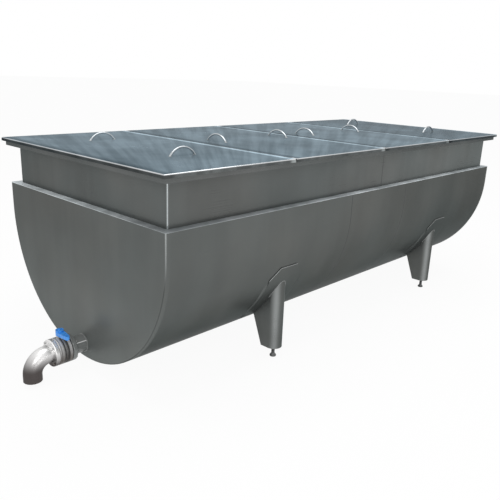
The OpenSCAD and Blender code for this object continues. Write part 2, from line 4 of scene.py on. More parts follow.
import bmesh
import bpy
import numpy as np
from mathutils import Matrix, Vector


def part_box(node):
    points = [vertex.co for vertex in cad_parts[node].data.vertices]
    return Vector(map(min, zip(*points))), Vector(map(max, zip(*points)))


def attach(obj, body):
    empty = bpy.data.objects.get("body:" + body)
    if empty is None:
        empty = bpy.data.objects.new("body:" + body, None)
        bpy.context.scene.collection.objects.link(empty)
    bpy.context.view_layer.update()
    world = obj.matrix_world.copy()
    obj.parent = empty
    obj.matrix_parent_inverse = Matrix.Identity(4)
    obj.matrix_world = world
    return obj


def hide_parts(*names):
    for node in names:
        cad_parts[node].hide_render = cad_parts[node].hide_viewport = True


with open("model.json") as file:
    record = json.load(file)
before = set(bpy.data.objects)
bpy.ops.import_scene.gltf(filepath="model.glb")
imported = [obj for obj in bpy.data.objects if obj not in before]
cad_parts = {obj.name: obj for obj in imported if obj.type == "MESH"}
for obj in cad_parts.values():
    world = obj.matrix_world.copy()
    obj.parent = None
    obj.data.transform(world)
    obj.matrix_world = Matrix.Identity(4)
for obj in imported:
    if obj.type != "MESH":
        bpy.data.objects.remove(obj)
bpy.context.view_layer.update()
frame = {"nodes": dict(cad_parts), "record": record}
nodes = frame["nodes"]
bodyNodes = frame["record"]["behaviour"]["bodies"]
bodyOf = {node: body for body, members in bodyNodes.items() for node in members}


def boxOf(name):  # lowest and highest corner of a CAD node
    low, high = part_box(name)
    return np.array(low), np.array(high)


# what the other pieces are placed by, read from the frame
shellLow, shellHigh = boxOf("jacket_shell")
endLow = boxOf("jacket_end_outlet")[0]
farHigh = boxOf("jacket_end_far")[1]
bandHigh = boxOf("trough_liner")[1]
ledgeLow, ledgeHigh = boxOf("ledge_front")
rimLow = boxOf("rim_front")[0]
pipeLow, pipeHigh = boxOf("outlet_pipe")
vat = {
    "jacketRadius": shellHigh[1],
    "axisHeight": shellLow[2] + shellHigh[1],
    "middle": (endLow[0] + farHigh[0]) / 2,
    "bandSide": bandHigh[1],
    "ledgeTop": ledgeHigh[2],
    "rimUnder": rimLow[2],
}


# Shader maths
class Wire:  # one socket of a node tree: arithmetic on it adds Math nodes
    def __init__(self, tree, socket=None):
        self.tree = tree
        self.socket = socket

    def node(self, kind, settings=None, inputs=None, out=0):  # any other node, its settings set first
        made = self.tree.nodes.new(kind)
        for key, value in (settings or {}).items():
            if key == "stops":
                placeStops(made.color_ramp, value)
            else:
                setattr(made, key, value)
        for key, value in (inputs or {}).items():
            if isinstance(value, Wire):
                self.tree.links.new(value.socket, made.inputs[key])
            else:
                made.inputs[key].default_value = value
        return Wire(self.tree, made.outputs[out])

    def maths(self, operation, *others):
        return self.node("ShaderNodeMath", {"operation": operation}, dict(enumerate((self, *others))))

    def __add__(self, other):
        return self.maths("ADD", other)

    def __sub__(self, other):
        return self.maths("SUBTRACT", other)

    def __rsub__(self, other):
        return self.node("ShaderNodeMath", {"operation": "SUBTRACT"}, {0: other, 1: self})

    def __mul__(self, other):
        return self.maths("MULTIPLY", other)

    def __pow__(self, other):
        return self.maths("POWER", other)

    __radd__ = __add__
    __rmul__ = __mul__


def placeStops(ramp, stops):  # stops are (place, grey) pairs in rising order
    while len(ramp.elements) < len(stops):
        ramp.elements.new(0.5)
    for element, (place, grey) in zip(ramp.elements, stops):
        element.position = place
        element.color = (grey, grey, grey, 1)


def mixColour(share, first, second):  # first where share is 0, second where it is 1
    return share.node("ShaderNodeMix", {"data_type": "RGBA"}, {0: share, 6: first, 7: second}, 2)


def shade(colour, tone):  # colour times a number
    return tone.node("ShaderNodeVectorMath", {"operation": "SCALE"}, {0: colour, "Scale": tone})


def rise(value, low, high):  # 0 below low, 1 above high, smooth between
    return value.node("ShaderNodeMapRange", {"interpolation_type": "SMOOTHSTEP"},
                      {"Value": value, "From Min": low, "From Max": high})


def noise(place, size, stretch=(1, 1, 1), detail=3.0, shift=(0, 0, 0)):
    # size is a blotch's width in metres
    spot = place.node("ShaderNodeMapping", {}, {"Vector": place, "Scale": stretch, "Location": shift})
    return place.node("ShaderNodeTexNoise", {}, {"Vector": spot, "Scale": 1 / size, "Detail": detail})


def axisOf(vector, axis):
    return vector.node("ShaderNodeSeparateXYZ", {}, {0: vector}, axis)


def bend(facing, axis):  # 1 where a surface turns at 45 degrees to the axis, 0 along and across it
    along = axisOf(facing, axis).maths("ABSOLUTE")
    across = (1 - along * along).maths("MAXIMUM", 0.0) ** 0.5
    return 2 * along * across


def newMaterial(name):
    material = bpy.data.materials.new(name)
    material.use_nodes = True
    return material, Wire(material.node_tree), material.node_tree.nodes["Principled BSDF"]


def feed(shader, name, wire):
    wire.tree.links.new(wire.socket, shader.inputs[name])


def rgba(colour):
    return (*colour, 1.0)


def placeOn(start):  # place on the object
    return start.node("ShaderNodeTexCoord", out="Object")


def facingOf(start):  # the way its surface faces
    return start.node("ShaderNodeTexCoord", out="Normal")


def bumps(shader, height, strength, depth):  # fine relief from a height
    relief = {"Strength": strength, "Distance": depth, "Height": height}
    feed(shader, "Normal", height.node("ShaderNodeBump", {}, relief))


# Sheet steel: clouded tone, streaks, fine grain, and bends that are glossier and carry a painted highlight;
# some looks add painted light and shade by place
# "metal" is the share that mirrors, "edgeTint" what that share keeps when seen at a flat angle
# "bright" is the painted highlight colour of a bend, "bendFade" the heights between which bends take on that
# painted highlight and more gloss
# "bendShade" is how much darker the bends below that are, a painted shade
# "edgeReach" is how far from the vat's middle a bend carries its full painted highlight, along and across
# "lowLift" is two heights and how much lighter the sheet is below them, a painted light towards the floor
# "farLift" is two places along the vat and how much lighter the sheet is past them, darker if below 0:
# painted light along the band, painted shade on the far lids
# "cornerShade" is two places along, two across, and how much darker the front corner at the outlet is, a
# painted shade
# "sheetEdges" is how much lighter each lid's far edge is, and how much darker its near one: a painted
# highlight and a painted shade
# "reflectionStreaksFrom" is where the lids' painted reflection streaks fan out from, "inside" the colour of
# faces turned to the vat's middle
sheetLooks = {
    "bodySheet": {
        "colour": (0.125, 0.135, 0.132), "tint": (0.135, 0.139, 0.133), "bright": (0.44, 0.46, 0.46),
        "cloud": 0.14, "cloudSize": 0.45, "streak": 0.06, "streakStretch": (9, 9, 0.7),
        "rough": 0.34, "roughVary": 0.16, "grainStretch": (3, 500, 500), "grainBump": 0.03,
        "metal": 0.72, "edgeTint": (0.30, 0.31, 0.31), "lowLift": (0.05, 0.60, 0.24),
        "bendAxis": "X", "bendSharp": 6, "bendShare": 0.9, "bendFade": (0.56, 0.80),
        "bendShade": 0.42,
    },
    "bandSheet": {
        "colour": (0.117, 0.127, 0.125), "tint": (0.126, 0.131, 0.127), "bright": (0.52, 0.56, 0.57),
        "cloud": 0.14, "cloudSize": 0.30, "streak": 0.08, "streakStretch": (10, 10, 0.6),
        "rough": 0.30, "roughVary": 0.14, "grainStretch": (3, 500, 500), "grainBump": 0.03,
        "metal": 0.60, "edgeTint": (0.46, 0.48, 0.48), "farLift": (-0.9, 1.4, 0.42),
        "inside": (0.46, 0.48, 0.485),
        "bendAxis": "X", "bendSharp": 4, "bendShare": 1.0, "bendFade": (0.70, 0.82),
    },
    # The lids: the blue-grey tone is partly a painted sky reflection, and the strong clouds and fanned
    # streaks are painted reflections
    "lidSheet": {
        "colour": (0.194, 0.236, 0.265), "tint": (0.222, 0.274, 0.308), "bright": (0.80, 0.81, 0.82),
        "side": (0.110, 0.118, 0.118),
        "cloud": 0.30, "cloudSize": 0.22, "streak": 0.36, "streakStretch": (46, 1.0, 1),
        "reflectionStreaksFrom": (-2.0, -1.75), "sheetEdges": (1.5, 0.44),
        "farLift": (0.75, 1.05, -0.30),
        "rough": 0.24, "roughVary": 0.14, "grainStretch": (500, 4, 500), "grainBump": 0.03,
        "metal": 0.45, "edgeTint": (0.20, 0.28, 0.33), "edgeReach": (1.44, 0.62),
        "bendAxis": "Z", "bendSharp": 2, "bendShare": 1.0, "bendFade": (0.0, 0.1),
    },
    "rimSheet": {
        "colour": (0.118, 0.126, 0.124), "tint": (0.135, 0.140, 0.138), "bright": (0.55, 0.57, 0.57),
        "cloud": 0.18, "cloudSize": 0.30, "streak": 0.08, "streakStretch": (9, 9, 0.7),
        "rough": 0.26, "roughVary": 0.12, "grainStretch": (3, 500, 500), "grainBump": 0.03,
        "metal": 0.70, "edgeTint": (0.44, 0.46, 0.47),
        "bendAxis": "Z", "bendSharp": 2, "bendShare": 0.5, "bendFade": (0.0, 0.1),
    },
    # The ledge is the same steel as the band, painted much lighter with little mirror share: painted light
    # for what its flat top catches
    "ledgeSheet": {
        "colour": (0.60, 0.65, 0.67), "tint": (0.82, 0.87, 0.90), "bright": (0.80, 0.82, 0.83),
        "cloud": 0.40, "cloudSize": 0.10, "streak": 0.16, "streakStretch": (2, 2, 2),
        "rough": 0.36, "roughVary": 0.16, "grainStretch": (3, 500, 500), "grainBump": 0.03,
        "metal": 0.12, "edgeTint": (0.56, 0.60, 0.62),
        "cornerShade": ((-1.1, 0.5), (-0.64, 0.1), 0.56),
        "bendAxis": "Z", "bendSharp": 2, "bendShare": 0.3, "bendFade": (0.0, 0.1),
    },
    "legSheet": {
        "colour": (0.112, 0.121, 0.119), "tint": (0.119, 0.124, 0.119), "bright": (0.44, 0.46, 0.46),
        "cloud": 0.16, "cloudSize": 0.20, "streak": 0.10, "streakStretch": (12, 12, 1),
        "rough": 0.32, "roughVary": 0.14, "grainStretch": (500, 500, 3), "grainBump": 0.03,
        "metal": 0.60, "edgeTint": (0.38, 0.40, 0.40),
        "bendAxis": "X", "bendSharp": 3, "bendShare": 0.46, "bendFade": (0.0, 0.02),
    },
    "insideSheet": {
        "colour": (0.30, 0.32, 0.325), "tint": (0.36, 0.37, 0.37), "bright": (0.55, 0.57, 0.57),
        "cloud": 0.16, "cloudSize": 0.40, "streak": 0.10, "streakStretch": (9, 9, 0.7),
        "rough": 0.27, "roughVary": 0.12, "grainStretch": (3, 500, 500), "grainBump": 0.03,
        "metal": 0.9, "edgeTint": (0.8, 0.8, 0.8),
        "bendAxis": "X", "bendSharp": 2, "bendShare": 0.0, "bendFade": (0.0, 0.1),
    },
}
# The jacket's end plates: less mirror share and a stronger painted light towards the floor
sheetLooks["endSheet"] = {
    **sheetLooks["bodySheet"],
    "metal": 0.45, "edgeTint": (0.40, 0.41, 0.41), "lowLift": (0.05, 0.75, 0.42),
}

# What all sheets share: bands are where a noise, a share or a slope goes from 0 to 1
sheetShared = {
    "cloudBand": (0.30, 0.70), "driftBand": (0.35, 0.65), "streakBand": (0.34, 0.66),
    "driftShift": (3.1, 1.7, 0.4), "flatBand": (0.3, 0.9), "insideBand": (-0.1, 0.1),
    "highlightBreakBand": (0.35, 0.60), "highlightBreak": 0.75, "edgeGloss": 0.10, "edgeMetal": 0.95,
    "grainDepth": 0.0004, "farEdgeBand": (0.930, 0.960), "nearEdgeBand": (0.02, 0.08),
    "outerBand": 0.02, "middleEdge": 0.12,
}
lidFirst = boxOf("lid_1")[0][0]
lidPitch = boxOf("lid_2")[0][0] - lidFirst


def fanned(place, centre):  # angle and distance round an upright line: streaks run outwards from it
    x = axisOf(place, "X") - centre[0]
    y = axisOf(place, "Y") - centre[1]
    around = {"X": y.maths("ARCTAN2", x), "Y": (x * x + y * y) ** 0.5}
    return place.node("ShaderNodeCombineXYZ", {}, around)


# painted highlight along each lid's far edge and painted shade along its near one
def sheetEdges(place, gain, loss):  # lighter along each lid's far edge, darker along its near one
    share = ((axisOf(place, "X") - lidFirst) * (1 / lidPitch)).maths("FRACT")
    far = rise(share, *sheetShared["farEdgeBand"])
    near = 1 - rise(share, *sheetShared["nearEdgeBand"])
    return 1 + gain * far - loss * near


# keeps most of the painted highlight on bends to the vat's outer edges
def outerEdge(place, reach):  # 1 near the vat's outer edges, little over its middle
    band = sheetShared["outerBand"]
    little = sheetShared["middleEdge"]
    along = rise((axisOf(place, "X") - vat["middle"]).maths("ABSOLUTE"), reach[0], reach[0] + band)
    across = rise(axisOf(place, "Y").maths("ABSOLUTE"), reach[1], reach[1] + band)
    return little + (1 - little) * along.maths("MAXIMUM", across)


def outward(place, facing):  # above 0 on faces turned from the vat's middle, below 0 on those turned to it
    along = (axisOf(place, "X") - vat["middle"]) * axisOf(facing, "X")
    across = axisOf(place, "Y") * axisOf(facing, "Y")
    upright = (axisOf(place, "Z") - vat["axisHeight"]) * axisOf(facing, "Z")
    return along + across + upright


def makeSheet(name):
    look = sheetLooks[name]
    shared = sheetShared
    material, start, shader = newMaterial(name)
    place = placeOn(start)
    facing = facingOf(start)
    # on the lids the streaks fan out from a point in front of the vat, as painted reflection streaks
    streakPlace = fanned(place, look["reflectionStreaksFrom"]) if "reflectionStreaksFrom" in look else place
    cloud = noise(place, look["cloudSize"], detail=4.0)
    drift = noise(place, 2 * look["cloudSize"], detail=2.0, shift=shared["driftShift"])
    streak = noise(streakPlace, 1.0, look["streakStretch"], detail=5.0)
    grain = noise(place, 1.0, look["grainStretch"], detail=2.0)
    clouded = rise(cloud, *shared["cloudBand"]) - 0.5
    streaked = rise(streak, *shared["streakBand"]) - 0.5
    tone = 1 + look["cloud"] * clouded + look["streak"] * streaked
    colour = mixColour(rise(drift, *shared["driftBand"]), rgba(look["colour"]), rgba(look["tint"]))
    # painted shade: upright faces, such as the lids' skirts, take a darker colour than the flat tops
    if "side" in look:  # faces that stand upright are darker than the flat ones
        flat = rise(axisOf(facing, "Z").maths("ABSOLUTE"), *shared["flatBand"])
        colour = mixColour(flat, rgba(look["side"]), colour)
    if "inside" in look:
        outside = rise(outward(place, facing), *shared["insideBand"])
        colour = mixColour(outside, rgba(look["inside"]), colour)
    # painted light: lighter below the given heights, towards the floor
    if "lowLift" in look:
        low, high, gain = look["lowLift"]
        tone = tone * (1 + gain * (1 - rise(axisOf(place, "Z"), low, high)))
    # painted light and shade along the vat: lighter past the given places, darker where the gain is below 0
    if "farLift" in look:
        low, high, gain = look["farLift"]
        tone = tone * (1 + gain * rise(axisOf(place, "X"), low, high))
    # painted shade: the ledge's front corner at the outlet is darker
    if "cornerShade" in look:
        alongX, acrossY, loss = look["cornerShade"]
        near = (1 - rise(axisOf(place, "X"), *alongX)) * (1 - rise(axisOf(place, "Y"), *acrossY))
        tone = tone * (1 - loss * near)
    # painted highlight and painted shade at the lids' seams
    if "sheetEdges" in look:
        tone = tone * sheetEdges(place, *look["sheetEdges"])
    # painted highlight: bends turned about 45 degrees get the bright colour above the bendFade heights, with
    # more metal and less roughness
    edge = bend(facing, look["bendAxis"]) ** look["bendSharp"]
    highlightByHeight = rise(axisOf(place, "Z"), *look["bendFade"])
    # painted shade: bends below those heights are darker
    if "bendShade" in look:
        tone = tone * (1 - look["bendShade"] * edge * (1 - highlightByHeight))
    colour = shade(colour, tone)
    edge = edge * highlightByHeight * look["bendShare"]
    # the painted highlight on bends is broken up by the cloud
    edge = edge * (shared["highlightBreak"] + (1 - shared["highlightBreak"]) * rise(cloud, *shared["highlightBreakBand"]))
    if "edgeReach" in look:
        edge = edge * outerEdge(place, look["edgeReach"])
    feed(shader, "Base Color", mixColour(edge, colour, rgba(look["bright"])))
    vary = look["roughVary"]
    rough = look["rough"] + vary * (cloud - 0.5) + 0.5 * vary * (grain - 0.5)
    feed(shader, "Roughness", rough - shared["edgeGloss"] * edge)
    feed(shader, "Metallic", look["metal"] + (shared["edgeMetal"] - look["metal"]) * edge)
    bumps(shader, grain, look["grainBump"], shared["grainDepth"])
    shader.inputs["Specular IOR Level"].default_value = 0.0
    shader.inputs["Specular Tint"].default_value = rgba(look["edgeTint"])
    return material


# Polished steel of the bars, pipe and valve, its colour set by height as painted light and shade
# "fade" is the heights between which "lowColour" goes over into "colour": on the valve, elbow and welds
# darker and a little warm towards the floor, a painted shade; near white on the elbow's top, a painted
# highlight; on the stub a little lighter low down, a painted light
polishLooks = {
    "handleBar": {"colour": (0.52, 0.55, 0.57), "lowColour": (0.50, 0.51, 0.52), "fade": (0.0, 0.5),
                  "metal": 1.0, "rough": 0.18, "smear": 0.70, "smearSize": 0.03},
    "valvePolish": {"colour": (0.54, 0.54, 0.54), "lowColour": (0.12, 0.104, 0.093), "fade": (0.095, 0.185),
                    "metal": 0.22, "rough": 0.36, "smear": 0.34, "smearSize": 0.02, "rings": 0.86},
    "elbowPolish": {"colour": (0.86, 0.855, 0.85), "lowColour": (0.085, 0.075, 0.073), "fade": (0.074, 0.174),
                    "metal": 0.90, "rough": 0.38, "smear": 0.10, "smearSize": 0.06},
    "seamHighlight": {"colour": (0.92, 0.92, 0.92), "lowColour": (0.90, 0.90, 0.90), "fade": (0.0, 0.5),
                   "metal": 0.05, "rough": 0.30, "smear": 0.30, "smearSize": 0.02},
    "stubPolish": {"colour": (0.200, 0.210, 0.206), "lowColour": (0.230, 0.240, 0.236), "fade": (0.09, 0.16),
                   "metal": 0.20, "rough": 0.16, "smear": 0.14, "smearSize": 0.05},
    "groundSeam": {"colour": (0.062, 0.066, 0.065), "lowColour": (0.062, 0.066, 0.065), "fade": (0.0, 0.5),
                   "metal": 0.4, "rough": 0.40, "smear": 0.30, "smearSize": 0.05},
    "weldBead": {"colour": (0.26, 0.27, 0.27), "lowColour": (0.18, 0.185, 0.183), "fade": (0.0, 0.6),
                 "metal": 0.5, "rough": 0.32, "smear": 0.30, "smearSize": 0.012},
}
polishShared = {
    "fineStretch": (700, 700, 700), "ringStretch": (75, 0, 0), "ringBand": (0.45, 0.55),
    "smearRough": 0.12, "fineRough": 0.05, "fineBump": 0.02, "fineDepth": 0.0003, "edgeTint": (0.6, 0.6, 0.6),
}


def makePolish(name):
    look = polishLooks[name]
    shared = polishShared
    material, start, shader = newMaterial(name)
    place = placeOn(start)
    smear = noise(place, look["smearSize"], detail=4.0)
    fine = noise(place, 1.0, shared["fineStretch"], detail=2.0)
    height = rise(axisOf(place, "Z"), *look["fade"])
    tone = 1 + look["smear"] * (smear - 0.5)
    # painted reflection, partly dark grooves: bands of darker tone along the pipe's axis stand for the
    # surroundings mirrored in the valve's rings
    if "rings" in look:  # turned rings: the tone changes along the pipe only
        reflectionBands = noise(place, 1.0, shared["ringStretch"], detail=1.0)
        tone = tone * (1 - look["rings"] * rise(reflectionBands, *shared["ringBand"]))
    # colour by height: painted shade low down, painted highlight high up
    feed(shader, "Base Color", shade(mixColour(height, rgba(look["lowColour"]), rgba(look["colour"])), tone))
    rough = look["rough"] + shared["smearRough"] * (smear - 0.5) + shared["fineRough"] * (fine - 0.5)
    feed(shader, "Roughness", rough)
    bumps(shader, fine, shared["fineBump"], shared["fineDepth"])
    shader.inputs["Metallic"].default_value = look["metal"]
    shader.inputs["Specular Tint"].default_value = rgba(shared["edgeTint"])
    return material


# Plastic, plain steel, rubber and wool: "grit" is the width and depth of the relief
plainLooks = {
    "leverPlastic": {"colour": (0.040, 0.275, 0.80), "worn": (0.065, 0.34, 0.86), "size": 0.012,
                     "rough": 0.28, "roughVary": 0.14, "bump": 0.08, "grit": 0.0012,
                     "metal": 0.0, "coat": 0.25},
    "footSteel": {"colour": (0.100, 0.104, 0.104), "worn": (0.16, 0.165, 0.163), "size": 0.010,
                  "rough": 0.42, "roughVary": 0.20, "bump": 0.10, "grit": 0.0015,
                  "metal": 0.25, "coat": 0.0},
    "seatRubber": {"colour": (0.014, 0.014, 0.015), "worn": (0.030, 0.030, 0.030), "size": 0.008,
                   "rough": 0.62, "roughVary": 0.16, "bump": 0.15, "grit": 0.0008,
                   "metal": 0.0, "coat": 0.0},
    "wool": {"colour": (0.62, 0.50, 0.26), "worn": (0.76, 0.66, 0.42), "size": 0.05,
             "rough": 0.92, "roughVary": 0.08, "bump": 0.60, "grit": 0.004,
             "metal": 0.0, "coat": 0.0},
}
plainWorn = (0.42, 0.72)  # where the wear noise goes from new to worn


def makePlain(name):
    look = plainLooks[name]
    material, start, shader = newMaterial(name)
    place = placeOn(start)
    wear = noise(place, look["size"], detail=5.0)
    grit = noise(place, look["grit"], detail=2.0)
    worn = rise(wear, *plainWorn)
    feed(shader, "Base Color", mixColour(worn, rgba(look["colour"]), rgba(look["worn"])))
    feed(shader, "Roughness", look["rough"] + look["roughVary"] * (wear - 0.5))
    bumps(shader, grit, look["bump"], look["grit"])
    shader.inputs["Metallic"].default_value = look["metal"]
    shader.inputs["Coat Weight"].default_value = look["coat"]
    return material


finishes = {name: makeSheet(name) for name in sheetLooks}
finishes.update({name: makePolish(name) for name in polishLooks})
finishes.update({name: makePlain(name) for name in plainLooks})
print("materials:", len(finishes))

# Which finish each CAD node has: the first beginning that fits its name
finishOf = [
    ("trough_liner", "bandSheet"), ("liner_end", "bandSheet"), ("heating_jacket", "insideSheet"),
    ("insulation", "wool"), ("jacket_end", "endSheet"), ("jacket", "bodySheet"),
    ("ledge", "ledgeSheet"), ("rim", "rimSheet"), ("leg_pad", "bodySheet"), ("leg", "legSheet"),
    ("foot", "footSteel"), *((f"lid_{n}_handle", "handleBar") for n in range(1, 5)), ("lid", "lidSheet"),
    ("valve_seat", "seatRubber"), ("valve_lever", "leverPlastic"), ("lever_screw", "leverPlastic"),
    ("outlet_elbow", "elbowPolish"), ("outlet_pipe", "stubPolish"), ("", "valvePolish"),
]
for name, part in nodes.items():
    finish = next(finish for beginning, finish in finishOf if name.startswith(beginning))
    part.data.materials.clear()
    part.data.materials.append(finishes[finish])
print("finishes set on the CAD nodes")


# Surfaces
def skin(name, points, finish, body, joinRows=False, sharp=50):
    # a grid of points as a closed skin: columns join round, rows join round too or end in a cap
    rows, cols = points.shape[:2]
    here = np.arange(rows * cols).reshape(rows, cols)
    beside = np.roll(here, -1, axis=1)
    quads = np.stack([here, beside, np.roll(beside, -1, axis=0), np.roll(here, -1, axis=0)], axis=-1)
    faces = quads.reshape(-1, 4).tolist() if joinRows else quads[:-1].reshape(-1, 4).tolist()
    corners = points.reshape(-1, 3)
    if not joinRows:
        corners = np.vstack([corners, points[0].mean(axis=0), points[-1].mean(axis=0)])
        first = np.full(cols, rows * cols)
        faces += np.stack([first, beside[0], here[0]], axis=-1).tolist()
        faces += np.stack([first + 1, here[-1], beside[-1]], axis=-1).tolist()
    mesh = bpy.data.meshes.new(name)
    mesh.from_pydata(corners.tolist(), [], faces)
    work = bmesh.new()
    work.from_mesh(mesh)
    bmesh.ops.recalc_face_normals(work, faces=work.faces)
    work.to_mesh(mesh)
    work.free()
    mesh.polygons.foreach_set("use_smooth", np.ones(len(mesh.polygons), bool))
    mesh.set_sharp_from_angle(angle=math.radians(sharp))
    mesh.materials.append(finishes[finish])
    piece = bpy.data.objects.new(name, mesh)
    bpy.context.scene.collection.objects.link(piece)
    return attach(piece, body)


def unit(vectors):
    return vectors / np.linalg.norm(vectors, axis=-1, keepdims=True)


def spaced(path, step, closed=False):  # the same polyline with points at even steps along it
    line = np.vstack([path, path[:1]]) if closed else path
    run = np.concatenate([[0], np.cumsum(np.linalg.norm(np.diff(line, axis=0), axis=1))])
    count = max(8, int(round(run[-1] / step)))
    marks = np.linspace(0, run[-1], count, endpoint=not closed)
    return np.stack([np.interp(marks, run, line[:, k]) for k in range(3)], axis=-1), marks


def bead(path, marks, lift, look, closed=False):
    # a rippled weld: an ellipse carried along the path, swelling once in each ripple
    ahead = np.roll(path, -1, axis=0) - np.roll(path, 1, axis=0)
    if not closed:
        ahead[0] = path[1] - path[0]
        ahead[-1] = path[-1] - path[-2]
    side = unit(np.cross(ahead, lift))
    swell = 1 + look["swell"] * np.sin(2 * math.pi * marks / look["ripple"])
    if "taper" in look:  # sinks away at both ends
        fromEnd = np.minimum(marks, marks[-1] - marks) / look["taper"]
        swell = swell * np.clip(fromEnd, look["tip"], 1) ** 0.5
    turn = np.linspace(0, 2 * math.pi, look["sides"], endpoint=False)
    flat = (look["width"] * swell)[:, None, None] * side[:, None, :] * np.cos(turn)[None, :, None]
    high = (look["height"] * swell)[:, None, None] * lift[:, None, :] * np.sin(turn)[None, :, None]
    return path[:, None, :] + flat + high


# Screw feet with a cut thread
footLook = {"soleEdge": 0.0015, "soleHigh": 0.008, "coneHigh": 0.010, "stem": 0.009, "pitch": 0.0025,
            "depth": 0.0014, "chamfer": 0.002, "columns": 40, "rowsPerTurn": 8, "edgeRows": 5}


def footSurface(low, high):
    # a turned profile; along the stem the radius dips once in each pitch, a column further each step round
    look = footLook
    centre = (low + high) / 2
    radius = (high[0] - low[0]) / 2
    edge = look["soleEdge"]
    neck = look["soleHigh"] + look["coneHigh"]
    top = high[2] - low[2]
    rounds = np.linspace(0, math.pi / 2, look["edgeRows"])
    inner = radius - edge
    upper = look["soleHigh"] - edge
    soleR = np.concatenate([inner + edge * np.sin(rounds), inner + edge * np.cos(rounds)])
    soleZ = np.concatenate([edge - edge * np.cos(rounds), upper + edge * np.sin(rounds)])
    threadZ = np.arange(neck, top - look["chamfer"], look["pitch"] / look["rowsPerTurn"])
    stem = np.full(len(threadZ), look["stem"])
    profileR = np.concatenate([soleR, stem, [look["stem"] - look["chamfer"]]])
    profileZ = np.concatenate([soleZ, threadZ, [top]])
    turn = np.linspace(0, 2 * math.pi, look["columns"], endpoint=False)
    phase = profileZ[:, None] / look["pitch"] - turn[None, :] / (2 * math.pi)
    dip = np.abs(2 * (phase % 1) - 1)
    fade = np.clip((profileZ - neck) / look["pitch"], 0, 1)
    fade = fade * np.clip((top - profileZ) / look["chamfer"] - 1, 0, 1)
    wide = profileR[:, None] - look["depth"] * dip * fade[:, None]
    tall = np.repeat(profileZ[:, None], look["columns"], axis=1)
    x = centre[0] + wide * np.cos(turn)
    y = centre[1] + wide * np.sin(turn)
    return np.stack([x, y, low[2] + tall], axis=-1)


for name in [n for n in nodes if n.startswith("foot_")]:
    piece = skin(name + "_screw", footSurface(*boxOf(name)), "footSteel", bodyOf[name], sharp=35)
    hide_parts(name)
print("screw feet made")

# Welds on the leg pads' upper edges and over the legs' noses
# The pads' other edges are ground to low fillets
padWeld = {"width": 0.0022, "height": 0.0016, "ripple": 0.006, "swell": 0.10, "sides": 8, "step": 0.0025,
           "cut": 0.057, "topAngle": 17, "lowAngle": 50, "out": 0.0031, "down": 0.004}
padFillet = {**padWeld, "width": 0.024, "height": 0.0068, "swell": 0.0, "sides": 32, "step": 0.004,
             "out": -0.0035, "taper": 0.05, "tip": 0.05}
legWeld = {"width": 0.0022, "height": 0.0018, "ripple": 0.006, "swell": 0.12, "sides": 8, "step": 0.0025,
           "weldOut": 0.0032, "noseIn": 0.062, "radius": 0.044, "reach": 0.008,
           "noseRows": 60, "sideRows": 20}


def padEdge(low, high, front, look, route):
    # part of the pad's outline, laid on the jacket's round; route names its corners and their sides
    radius = vat["jacketRadius"] + look["out"]
    half = radius * math.sin(math.radians(look["lowAngle"] - look["topAngle"]) / 2)
    wide = (high[0] - low[0]) / 2
    cut = look["cut"]
    spots = {
        "top": (wide - cut, half), "cut": (wide, half - cut),
        "side": (wide, half - cut - look["down"]), "foot": (wide, -half),
    }
    corners = np.array([[way * spots[spot][0], spots[spot][1]] for way, spot in route])
    points, marks = spaced(np.column_stack([corners, np.zeros(len(corners))]), look["step"])
    mid = math.radians(look["lowAngle"] + look["topAngle"]) / 2
    out = np.array([0, -math.cos(mid), -math.sin(mid)])
    along = np.array([0, -math.sin(mid), math.cos(mid)])
    reach = np.sqrt(radius ** 2 - points[:, 1] ** 2)
    lift = points[:, 1:2] * along / radius + reach[:, None] * out / radius
    middle = np.array([(low[0] + high[0]) / 2, 0, vat["axisHeight"]])
    path = middle + points[:, :1] * np.array([1, 0, 0]) + lift * radius
    flip = np.array([1, 1 if front else -1, 1])
    return path * flip, marks, lift * flip


padWeldRoute = [(-1, "side"), (-1, "cut"), (-1, "top"), (1, "top")]
padFilletRoutes = {"outlet": [(-1, "side"), (-1, "foot")], "far": [(1, "cut"), (1, "foot")]}


def legEdge(low, high, front):
    # the leg's U in plan, each point raised to where the leg meets the pad
    look = legWeld
    out = vat["jacketRadius"] + look["weldOut"]
    noseRows, sideRows = look["noseRows"], look["sideRows"]
    turn = np.linspace(-math.pi / 2, math.pi / 2, noseRows)
    straight = np.linspace(look["reach"], 0, sideRows, endpoint=False)
    side = np.concatenate([np.full(sideRows, -1.0), np.sin(turn), np.full(sideRows, 1.0)])
    ahead = np.concatenate([np.zeros(sideRows), np.cos(turn), np.zeros(sideRows)])
    back = np.concatenate([straight, np.zeros(noseRows), straight[::-1]])
    y = look["noseIn"] - out + look["radius"] * (1 - ahead) + back
    tall = vat["axisHeight"] - np.sqrt(out ** 2 - y ** 2)
    path = np.stack([(low[0] + high[0]) / 2 + side * look["radius"], y, tall], axis=-1)
    path, marks = spaced(path, look["step"])
    lift = unit(path * [0, 1, 1] - np.array([0, 0, vat["axisHeight"]]))
    flip = np.array([1, 1 if front else -1, 1])
    return path * flip, marks, lift * flip


for side in ("front", "back"):
    for end in ("outlet", "far"):
        low, high = boxOf(f"leg_pad_{side}_{end}")
        path, marks, lift = padEdge(low, high, side == "front", padWeld, padWeldRoute)
        piece = skin(f"pad_weld_{side}_{end}", bead(path, marks, lift, padWeld), "weldBead", "vat")
        for word, route in padFilletRoutes.items():
            path, marks, lift = padEdge(low, high, side == "front", padFillet, route)
            rows = bead(path, marks, lift, padFillet)
            piece = skin(f"pad_{word}_fillet_{side}_{end}", rows, "bodySheet", "vat")
        path, marks, lift = legEdge(*boxOf(f"leg_{side}_{end}"), side == "front")
        piece = skin(f"leg_weld_{side}_{end}", bead(path, marks, lift, legWeld), "weldBead", "vat")
print("leg welds made")

